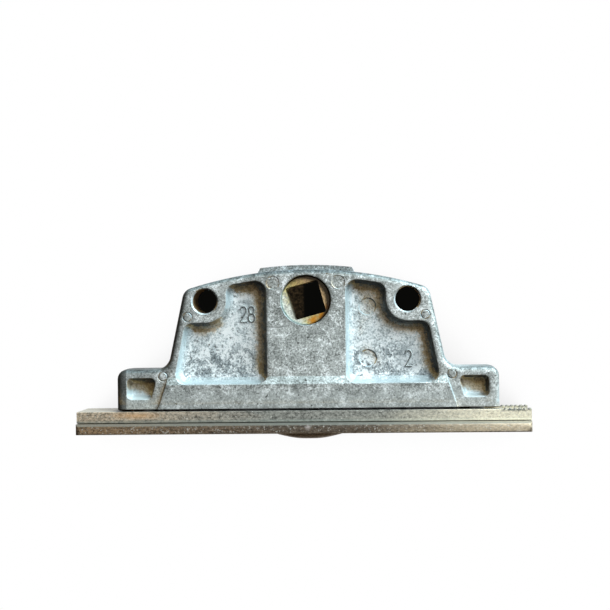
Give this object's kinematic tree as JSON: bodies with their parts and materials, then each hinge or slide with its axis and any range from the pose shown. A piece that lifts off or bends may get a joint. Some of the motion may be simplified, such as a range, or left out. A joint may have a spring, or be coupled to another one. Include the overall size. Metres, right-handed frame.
{
  "type": "espagnolette bar",
  "caption": "Gear unit of a window espagnolette: a die-cast gear case with a square follower on a sliding drive rod and a steel faceplate.",
  "frame": {"origin": "on the spindle axis, midway between the two handle screw holes and at the middle of the case's thickness", "axes": "+X along the bar, +Z from the faceplate towards the follower, -Y the face that the picture shows"},
  "size_m": [0.0962, 0.016, 0.0371],
  "materials": {
    "die_cast_zinc": "as-cast satin zinc alloy, mottled",
    "passivated_steel": "yellow passivated steel with a little rust",
    "gear_steel": "plain steel, lightly oiled",
    "plated_bar": "zinc-plated rolled steel, warm grey"
  },
  "bodies": {
    "gear_case": {"front_shell": "die_cast_zinc", "rear_shell": "die_cast_zinc", "idler_pin": "gear_steel", "faceplate": "plated_bar", "case_screw_left": "gear_steel", "case_screw_right": "gear_steel", "spacer_left": "gear_steel", "spacer_right": "gear_steel", "rivet_upper_left": "die_cast_zinc", "rivet_upper_right": "die_cast_zinc", "rivet_lower_left": "die_cast_zinc", "rivet_lower_right": "die_cast_zinc"},
    "follower": {"follower_hub": "passivated_steel", "toothed_sector": "gear_steel"},
    "idler": {"idler_gear": "gear_steel"},
    "rod": {"drive_rod": "plated_bar"}
  },
  "joints": [
    {"name": "follower_turn", "type": "hinge", "parent": "gear_case", "child": "follower", "pos_m": [0, 0, 0], "axis": [0, -1, 0], "range_deg": [-15, 75]},
    {"name": "idler_turn", "type": "hinge", "parent": "gear_case", "child": "idler", "pos_m": [0, 0, -0.018], "axis": [0, -1, 0], "range_deg": [-133.4, 26.7]},
    {"name": "rod_slide", "type": "slide", "parent": "gear_case", "child": "rod", "axis": [1, 0, 0], "range_m": [-0.01508, 0.00302]}
  ],
  "couplings": [
    {"joint": "follower_turn", "follows": "rod_slide", "rad_per_m": -86.806},
    {"joint": "idler_turn", "follows": "rod_slide", "rad_per_m": 154.32}
  ]
}
